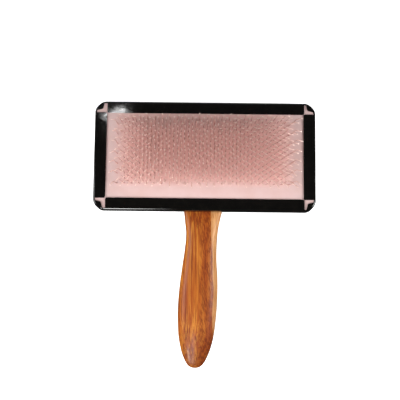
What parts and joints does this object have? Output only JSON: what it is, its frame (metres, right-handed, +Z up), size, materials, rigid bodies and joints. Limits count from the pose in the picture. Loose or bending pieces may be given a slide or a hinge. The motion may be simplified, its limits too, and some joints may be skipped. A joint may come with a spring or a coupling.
{
  "type": "slicker brush",
  "caption": "Pet grooming slicker brush: a wide steel pan with folded tabs holds a cushioned pad of bent wire pins, on a turned wooden handle.",
  "frame": {"origin": "middle of the bounding box's bottom, on the table the brush lies on, with its pins up", "axes": "+X across the brush along the long side of the pan, +Y from the grip's end towards the pan, +Z up from the table. The pan's plane is tilted 10.5 degrees about X, so the pins lean towards +Y"},
  "size_m": [0.1498, 0.1812, 0.0366],
  "materials": {
    "varnished_wood": "clear varnish over reddish brown wood",
    "black_painted_steel": "gloss black enamel",
    "foam": "open-cell foam",
    "pad_cloth": "woven cotton ply",
    "pad_rubber": "matt pink rubber",
    "rivet_brass": "plain brass",
    "washer_steel": "zinc plated",
    "pin_wire": "bright drawn wire"
  },
  "bodies": {
    "head_and_handle": {"handle": "varnished_wood", "pan": "black_painted_steel", "foam_cushion": "foam", "rivet_near": "rivet_brass", "rivet_middle": "rivet_brass", "rivet_far": "rivet_brass", "washer_near": "washer_steel", "washer_middle": "washer_steel", "washer_far": "washer_steel"},
    "pin_pad": {"pad_face": "pad_rubber", "pad_cloth": "pad_cloth", "staple_row_01": "pin_wire", "staple_row_02": "pin_wire", "staple_row_03": "pin_wire", "staple_row_04": "pin_wire", "staple_row_05": "pin_wire", "staple_row_06": "pin_wire", "staple_row_07": "pin_wire", "staple_row_08": "pin_wire", "staple_row_09": "pin_wire", "staple_row_10": "pin_wire", "staple_row_11": "pin_wire", "staple_row_12": "pin_wire", "staple_row_13": "pin_wire", "staple_row_14": "pin_wire", "staple_row_15": "pin_wire", "staple_row_16": "pin_wire", "staple_row_17": "pin_wire", "staple_row_18": "pin_wire", "staple_row_19": "pin_wire", "staple_row_20": "pin_wire", "staple_row_21": "pin_wire", "staple_row_22": "pin_wire", "staple_row_23": "pin_wire", "staple_row_24": "pin_wire", "staple_row_25": "pin_wire", "staple_row_26": "pin_wire", "staple_row_27": "pin_wire"}
  },
  "joints": [
    {"name": "pad_press", "type": "slide", "parent": "head_and_handle", "child": "pin_pad", "axis": [0, 0.1822, 0.9833], "range_m": [-0.0016, 0], "stiffness_N_per_m": 5000, "springref_m": 0.0006, "deforming": ["foam_cushion"]}
  ]
}
